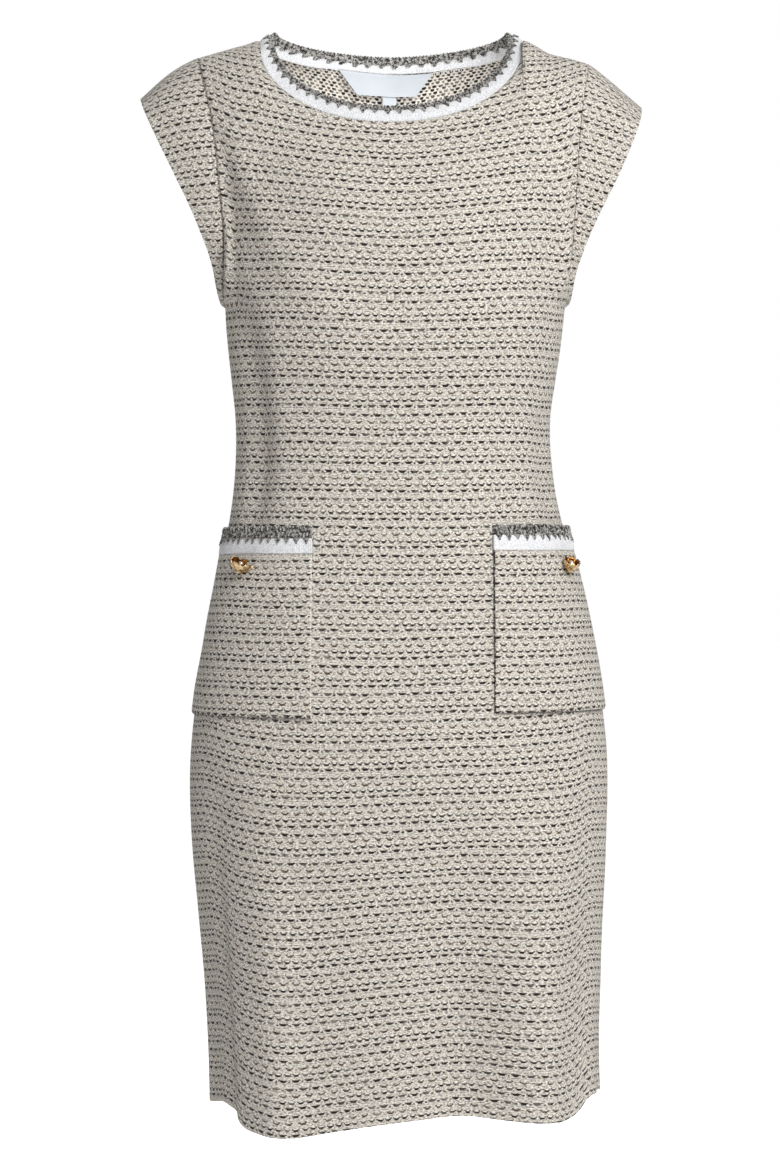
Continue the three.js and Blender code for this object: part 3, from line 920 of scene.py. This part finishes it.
def crochetPoints(band, look, inner=0.0):
    # small triangles of looped yarn that lie on a band below its edging, on its inner face
    # where inner gives the band's thickness
    length = band[3][-1]
    count = round(length / look["spacing"])
    rise = -(inner + look["rise"]) if inner else look["rise"]
    strands = []
    for k in range(count):
        middle = (k + 0.5) * length / count + 0.5 * math.sin(k * 2.9)
        tall = look["tall"] * (1 + 0.12 * math.sin(k * 2.4))
        for level in range(4):
            share = level / 3
            half = look["half"] * (1 - (1 - look["blunt"]) * share)
            down = (0.1 + 0.86 * share) * tall
            centre = middle + look["lean"] * share
            line = []
            for along in (-1, -0.45, 0.45, 1):
                line.append(bandPlace(band, centre + along * half, down - 0.3 * along ** 2, rise))
            strands.append({"points": line})
    return yarnMesh("points", strands, crochet["pointYarn"])


def linkingStitches(band, height):
    # short stitches that sew a band's lower edge to the cloth
    length = band[3][-1]
    count = round(length / linking["spacing"])
    strands = []
    for k in range(count):
        middle = (k + 0.5) * length / count
        end = linking["end"] + linking["uneven"] * math.sin(k * 2.4) * math.sin(k * 0.7)
        places = [(0.0, linking["start"], 0.1), (0.2, 0.0, 0.25), (0.1, end, -0.1)]
        line = [bandPlace(band, middle + x, height + y, rise) for x, y, rise in places]
        strands.append({"points": line})
    return yarnMesh("links", strands, linking["yarn"], sides=4)


def solidCore(points, inwards, wall, material):
    # the plain strip under a crochet, with its thickness
    solid = evaluatedMesh(finished("core", clothMesh(points - inwards), [material], wall, 0.4))
    bmesh.ops.remove_doubles(solid, verts=solid.verts, dist=touching)
    return solid


def ringGrid(name):
    # the two halves of a neck trim as one closed ring, columns anticlockwise seen from above
    front = skinGrid(f"{name}_front", (-1, 0, -1), (1, 0, -1))
    back = skinGrid(f"{name}_back", (1, 0, -1), (-1, 0, -1))
    right = (front[:, :1] + back[:, -1:]) / 2
    left = (front[:, -1:] + back[:, :1]) / 2
    return np.concatenate([right, front[:, 1:-1], left, back[:, 1:-1]], axis=1)


def closedRefined(grid, rowPlaces, count):
    # a closed ring's finer points: its columns go once round, and the last repeats the first
    wrap = 3
    padded = np.concatenate([grid[:, -wrap:], grid, grid[:, :wrap + 1]], axis=1)
    columns = np.linspace(wrap, wrap + grid.shape[1], count + 1)
    step = columns[1] - columns[0]
    wide = np.concatenate([[columns[0] - step], columns, [columns[-1] + step]])
    points = refined(padded, rowPlaces, wide)
    return points[:, 1:-1], normalsOf(points)[:, 1:-1]


neckTrim = {
    "ribSpacing": 2.1,
    "ribPoints": 4,
    "ribHeight": 0.26,
    "crown": 0.9,
    "bandRows": 10,
    "bandWall": 2.4,
    "bandReach": 0.6,
    "reachBehind": 2.0,
    "reachBeside": 1.6,
    "edgingColumns": 360,
    "peakColumns": 5.4,
    "edgingReach": 0.6,
    "edgingReachBehind": 1.6,
    "edgingLowered": 2.8,
    "edgingWall": 1.8,
    "edgingIn": 0.8,
    "edgingRow": 2,
    "edgingThick": 2.6,
    "stitchesIn": 1.4,
    # where the band's and the edging's changes start and end, in metres
    "behindFade": (0, 0.02),
    "besideFade": (0.055, 0.08),
    "frontFade": (-0.01, 0.035),
    "backMiddle": 0.055,
}


def neckBandFace():
    # the white band's outer face: a closed ring of rows, ribbed up and down
    grid = ringGrid("neck_band")
    around = lengthAlong(np.concatenate([grid[1], grid[1][:1]]), 0)[-1]
    ribs = round(around / (neckTrim["ribSpacing"] * mm))
    count = ribs * neckTrim["ribPoints"]
    rows = np.linspace(0, len(grid) - 1, neckTrim["bandRows"] + 1)
    points, normals = closedRefined(grid, rows, count)
    down = unit(points[0] - points[1])
    behind = fade(points[0, :, 1], *neckTrim["behindFade"])
    beside = fade(np.abs(points[0, :, 0]), *neckTrim["besideFade"])
    reach = neckTrim["bandReach"] + behind * (neckTrim["reachBehind"] + neckTrim["reachBeside"] * beside)
    points[0] += down * (reach * mm)[:, None]
    ribHeight = neckTrim["ribHeight"] * (1.2 - shareUp(points))
    points = points + normals * ribbed(points, ribs, neckTrim["crown"], ribHeight)
    points[:, -1] = points[:, 0]
    return measured(points, normals, True)


def makeNeckBand(band, material):
    points = band[0]
    piece = finished("neckBand", clothMesh(points, closed=True), [material], neckTrim["bandWall"], 0.6)
    hand(piece, "white_rib", "neck_band_front", "neck_band_back")
    height = lengthAlong(points, 0)[-1].mean() / mm
    links = finished("neckLinking", linkingStitches(band, height), [material])
    hand(links, "white_rib")


def makeNeckEdging(band, material):
    grid = ringGrid("neck_edging")
    rows = np.linspace(0, len(grid) - 1, 5)
    points, normals = closedRefined(grid, rows, neckTrim["edgingColumns"])
    # the peaks over the shoulders are rounded off
    ring = points[:, :-1]
    shifts = range(-10, 11)
    weights = [math.exp(-((shift / neckTrim["peakColumns"]) ** 2)) for shift in shifts]
    rolled = (np.roll(ring, shift, axis=1) * weight for shift, weight in zip(shifts, weights))
    ring = sum(rolled) / sum(weights)
    points = np.concatenate([ring, ring[:, :1]], axis=1)
    # the edging reaches a little over the band, most at the middle of the back
    down = unit(points[0] - points[1])
    behind = np.clip(points[0, :, 1:2] / neckTrim["backMiddle"], 0, 1)
    reach = neckTrim["edgingReach"] + neckTrim["edgingReachBehind"] * behind
    points[0] = points[0] + down * reach * mm
    # and it is narrower in front
    front = fade(-points[0, :, 1:2], *neckTrim["frontFade"])
    for share, row in zip(np.linspace(0, 1, len(points)), points):
        row += down * front * share * neckTrim["edgingLowered"] * mm
    points[:, -1] = points[:, 0]
    meshes = edgingMeshes(points, normals, neckTrim, material, True)
    meshes.append(crochetPoints(band, outerPoints))
    meshes.append(crochetPoints(band, innerPoints, inner=neckTrim["bandWall"]))
    piece = finished("neckEdging", joined(meshes), [material])
    hand(piece, "grey_edging", "neck_edging_front", "neck_edging_back")


# How far round the knit's pattern a pocket is, in metres, where its repeat starts below the band,
# how its inner seam shows (1 dark, with painted shadow, -1 a painted highlight), and how far and over what
# length the mouth's outer corner drops.
pocketLook = {
    "right": {"shift": 0.21, "start": 6.6, "seam": -0.55, "corner": 5.0, "cornerReach": 11},
    "left": {"shift": -0.13, "start": 6.0, "seam": 1.0, "corner": 6.5, "cornerReach": 12},
}
pocketCut = {
    "spacing": 3.0,
    "nearEdges": (0.8, 2.0),
    "wave": 0.05,  # metres
    "waveHeight": 1.2,
    "roll": 0.9,
    "rollWidth": 1.6,
    "wall": 2.2,
    "rounding": 0.8,
    "bandRows": 9,
    "crown": 0.7,
    "ribHeight": 0.16,
    "bandWall": 2.0,
    "edgingSpacing": 1.2,
    "edgingWall": 1.4,
    "edgingIn": 0.6,
    "edgingRow": 1,
    "edgingThick": 2.2,
    "stitchesIn": 0.8,
}


def pocketGrid(node):
    return skinGrid(node, (-1, 0, -1), (1, 0, -1))


def cornerDropped(points, side, shares):
    # the mouth's outer corner is rounded off, each row by its share
    look = pocketLook[side]
    across = lengthAlong(points, 1)
    outer = across if side == "right" else across[:, -1:] - across
    close = np.clip(1 - outer / (look["cornerReach"] * mm), 0, 1) ** 2
    points[..., 2] -= close * look["corner"] * mm * shares
    return points


def makePocket(side, materials):
    grid = pocketGrid(f"pocket_{side}")
    cut = pocketCut
    spread = (cut["spacing"] * mm, cut["nearEdges"])
    points = refined(grid, evenPlaces(grid[:, 4], *spread), evenPlaces(grid[2], *spread))
    points = cornerDropped(points, side, 0.12 * shareUp(points) ** 8)
    up = lengthAlong(points, 0)
    across = lengthAlong(points, 1)
    look = pocketLook[side]
    inner = across[:, -1:] - across if side == "right" else across
    rolled = np.minimum(sideDistance(points), up)
    heights = unevenness(points, cut["wave"], cut["waveHeight"] * mm, 9)
    heights = heights - cut["roll"] * mm * np.exp(-((rolled / (cut["rollWidth"] * mm)) ** 2))
    points = lifted(points, heights)
    v = (up - up[-1:]) * (1 + panelCut["taut"]) + look["start"] * mm
    cloth = np.stack([across + look["shift"], v], axis=-1)
    # the bottom seam shows dark, with painted shade; the inner seam shows as its side's look gives
    kind = np.where(inner < up, look["seam"], 0.9)
    seam = np.stack([np.minimum(inner, up), kind], axis=-1)
    mesh = clothMesh(points, cloth, seam)
    piece = finished(f"pocket{side.capitalize()}", mesh, materials, cut["wall"], cut["rounding"])
    hand(piece, "tweed_knit", f"pocket_{side}")


def pocketBandFace(side):
    grid = pocketGrid(f"pocket_band_{side}")
    width = lengthAlong(grid[0], 0)[-1]
    ribs = round(width / (neckTrim["ribSpacing"] * mm))
    columns = evenPlaces(grid[0], width / ribs / neckTrim["ribPoints"])
    points = refined(grid, np.linspace(0, len(grid) - 1, pocketCut["bandRows"]), columns)
    points = cornerDropped(points, side, 0.12 + 0.48 * shareUp(points))
    normals = normalsOf(points)
    heights = ribbed(points, ribs, pocketCut["crown"], pocketCut["ribHeight"])
    return measured(points + normals * heights, normals, False)


def makePocketBand(side, band, material):
    name = f"pocketBand{side.capitalize()}"
    piece = finished(name, clothMesh(band[0]), [material], pocketCut["bandWall"], 0.6)
    hand(piece, "white_rib", f"pocket_band_{side}")


def makePocketEdging(side, band, material):
    grid = pocketGrid(f"pocket_edging_{side}")
    columns = evenPlaces(grid[0], pocketCut["edgingSpacing"] * mm)
    points = refined(grid, np.linspace(0, len(grid) - 1, 4), columns)
    points = cornerDropped(points, side, 0.6 + 0.4 * shareUp(points))
    meshes = edgingMeshes(points, normalsOf(points), pocketCut, material, False)
    meshes.append(crochetPoints(band, pocketPoints))
    piece = finished(f"pocketEdging{side.capitalize()}", joined(meshes), [material])
    hand(piece, "grey_edging", f"pocket_edging_{side}")


buttonLook = {
    "rings": [
        {"petals": 6, "width": 11.6, "length": 7.8, "curl": 8.8, "turn": 0.1},
        {"petals": 5, "width": 6.4, "length": 4.6, "curl": 4.6, "turn": 0.6},
    ],
    "oval": (1.22, 0.84, 1.0),
    "wall": 0.8,
    "bead": 2.3,
    "beadHeight": 7.6,
    "standOff": {"right": 5.0, "left": 2.6},
    "thread": 1.3,
    "facing": {"right": (0.32, -0.34, 0.88), "left": (0.26, -0.3, 0.92)},
    "turned": {"right": 0.1, "left": 1.5},
    # the shank's two cones: where each starts and ends, and its radii there
    "shank": [(-1.2, 2.2, 1.9, 1.6), (1.4, 3.0, 4.6, 3.0)],
}


def cone(mesh, low, high, wide, narrow, segments, matrix=Matrix()):
    # a cone along +Z between two heights
    depth = (high - low) * mm
    sizes = {"radius1": wide * mm, "radius2": narrow * mm, "depth": depth}
    made = bmesh.ops.create_cone(mesh, cap_ends=True, segments=segments, **sizes)["verts"]
    middle = Matrix.Translation((0, 0, (low + high) / 2 * mm))
    bmesh.ops.transform(mesh, matrix=matrix @ middle, verts=made)


def petal(mesh, ring, turn):
    # one curled petal, cupped along its middle
    made = bmesh.ops.create_grid(mesh, x_segments=6, y_segments=9, size=1)["verts"]
    for vert in made:
        along = (vert.co.y + 1) / 2
        half = ring["width"] / 2 * math.sin(math.pi * (0.14 + 0.76 * along)) ** 0.75
        reach = 1.0 + ring["length"] * math.sin(along * 1.4)
        rise = 1.6 + ring["curl"] * along ** 2
        cup = 1.1 * vert.co.x ** 2 * math.sin(math.pi * along)
        crease = -0.2 * math.exp(-((vert.co.x / 0.2) ** 2))
        vert.co = Vector((reach - cup * 0.6, vert.co.x * half, rise + cup + crease)) * mm
    matrix = Matrix.Rotation(turn, 4, "Z")
    bmesh.ops.transform(mesh, matrix=matrix, verts=made)


def buttonMesh():
    # a blossom of curled petals round a bead, standing on a shank, in its own axes with +Z out
    mesh = bmesh.new()
    for ring in buttonLook["rings"]:
        for k in range(ring["petals"]):
            petal(mesh, ring, 2 * math.pi * (k + ring["turn"]) / ring["petals"])
    bmesh.ops.recalc_face_normals(mesh, faces=mesh.faces)
    bmesh.ops.solidify(mesh, geom=mesh.faces[:], thickness=buttonLook["wall"] * mm)
    bmesh.ops.scale(mesh, vec=buttonLook["oval"], verts=mesh.verts)
    # the hollow of the blossom takes the darker gold: painted shade inside the cup
    mesh.normal_update()
    for face in mesh.faces:
        middle = face.calc_center_median()
        face.material_index = int(face.normal.dot((middle.x, middle.y, -0.004)) < 0)
    size = buttonLook["bead"] * mm
    bead = bmesh.ops.create_uvsphere(mesh, u_segments=16, v_segments=10, radius=size)["verts"]
    bmesh.ops.translate(mesh, verts=bead, vec=(0, 0, buttonLook["beadHeight"] * mm))
    # the bead takes the near-white gold, a painted highlight
    for face in {face for vert in bead for face in vert.link_faces}:
        face.material_index = 2
    for shape in buttonLook["shank"]:
        cone(mesh, *shape, 24)
    for face in mesh.faces:
        face.smooth = True
    return mesh


def turnTo(way):
    return Vector((0, 0, 1)).rotation_difference(way).to_matrix().to_4x4()


def makeButton(side, materials):
    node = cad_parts[f"button_{side}"]
    corners = np.array([vert.co[:] for vert in node.data.vertices])
    # the solid's flattest direction is its way out of the cloth
    centre = corners.mean(axis=0)
    spread = np.linalg.svd(corners - centre, full_matrices=False)[2][2]
    sign = 1 if side == "left" else -1
    out = Vector(spread) if spread[0] * sign > 0 else -Vector(spread)
    depth = (corners - centre) @ np.array(out)
    standOff = buttonLook["standOff"][side]
    foot = Vector(centre) + out * (float(depth.min()) + standOff * mm)
    mesh = buttonMesh()
    facing = Vector(buttonLook["facing"][side])
    turn = turnTo(facing) @ Matrix.Rotation(buttonLook["turned"][side], 4, "Z")
    bmesh.ops.transform(mesh, matrix=Matrix.Translation(foot) @ turn, verts=mesh.verts)
    # the thread that holds it off the cloth
    size = buttonLook["thread"]
    cone(mesh, -standOff - 0.7, 0.8, size, size, 12, Matrix.Translation(foot) @ turnTo(out))
    piece = finished(f"button{side.capitalize()}", mesh, materials)
    hand(piece, "gold_metal", f"button_{side}")


labelLook = {
    "standOff": 2.4,
    "ripple": 0.3,
    "pressed": 0.5,
    "foldAt": 0.86,
    "foldHalf": 0.05,
    "tabStandOff": 1.2,
    "tabSwing": 2.2,
    "tabTucked": 3.0,
    "wall": 0.5,
    "rounding": 0.1,
}


def satinGrid(node, rows, columns):
    # a fine grid on the solid, and how far up and across it each point is
    grid = skinGrid(node, (1, 0, -1), (-1, 0, -1))
    places = [np.linspace(0, length - 1, count) for length, count in zip(grid.shape, (rows, columns))]
    return refined(grid, *places), np.linspace(0, 1, rows)[:, None], np.linspace(-1, 1, columns)


def satinPiece(name, node, points, material):
    piece = finished(name, clothMesh(points), [material], labelLook["wall"], labelLook["rounding"])
    hand(piece, "label_satin", node)
    return piece


def makeLabel(material):
    points, up, across = satinGrid("neck_label", 15, 41)
    # it stands off towards its lower edge, with a fold pressed in below its top
    ripple = labelLook["ripple"] * np.sin(across * 7 + up * 2) * (1 - up)
    heights = ripple - labelLook["standOff"] * (1 - up) ** 1.5
    fold = np.exp(-(((up - labelLook["foldAt"]) / labelLook["foldHalf"]) ** 2))
    heights = heights - labelLook["pressed"] * fold
    return satinPiece("neckLabel", "neck_label", lifted(points, heights * mm), material)


def makeTab(material):
    points, up, across = satinGrid("size_tab", 7, 9)
    # it hangs from behind the label's lower edge
    heights = 0 * across - labelLook["tabStandOff"] - labelLook["tabSwing"] * (1 - up)
    points = lifted(points, heights * mm)
    points[..., 2] += up * labelLook["tabTucked"] * mm
    return satinPiece("sizeTab", "size_tab", points, material)


makeStudio()
print("studio made")
fibre = fibreGroup()
faceShades = {"cool": "cfc9c2", "warm": "d3cbba", "light": "faf7f0", "dark": "685a48"}
reverseShades = {"cool": "ebe5dc", "warm": "efe7da", "light": "f8f4ee", "dark": "c0b3a0"}
faceGroup = knitGroup("tweedFace", rightSide, faceShades)
reverseGroup = knitGroup("tweedReverse", wrongSide, reverseShades)
outside = knitMaterial("tweedRightSide", faceGroup, knit["relief"] * mm)
inside = knitMaterial("tweedWrongSide", reverseGroup, knit["relief"] * mm)
whiteYarn = yarnMaterial("whiteRib", fibre, "d2d3d6", "f4f4f6", 800.0)
greyYarn = yarnMaterial("greyCrochet", fibre, "171616", "b6b3ae", 380.0)
golds = [
    goldMaterial("castGold", "b48c58", "f3dcb2"),
    goldMaterial("shadedGold", "4a2c14", "a8743c"),
    # the bead's near-white gold is a painted highlight
    goldMaterial("beadPaintedHighlight", "e8cdb4", "fff0e4"),
]
satin = satinMaterial()
print("materials made")

for face in ("front", "back"):
    makePanel(face, [outside, inside])
for side in ("right", "left"):
    makeSleeve(side, [outside, inside])
    makePocket(side, [outside, inside])
    pocketBand = pocketBandFace(side)
    makePocketBand(side, pocketBand, whiteYarn)
    makePocketEdging(side, pocketBand, greyYarn)
    makeButton(side, golds)
neckBand = neckBandFace()
makeNeckBand(neckBand, whiteYarn)
makeNeckEdging(neckBand, greyYarn)
label = makeLabel(satin)
tab = makeTab(satin)

floorMesh = bmesh.new()
bmesh.ops.create_circle(floorMesh, cap_ends=True, segments=64, radius=studio["floorReach"])
floorLevel = cadBounds[0][2] - studio["floorBelowHem"]
bmesh.ops.translate(floorMesh, verts=floorMesh.verts, vec=(0, 0, floorLevel))
paperFinish = {"Base Color": linear("f8f8f8"), "Roughness": 0.9, "Emission Color": linear("ffffff")}
paper, tree, shader = newMaterial("palePaper", paperFinish)
plug(tree, shader.inputs["Emission Strength"], seenByCamera(tree) * studio["floorGlow"])
floor = finished("floor", floorMesh, [paper])

print("dress made")
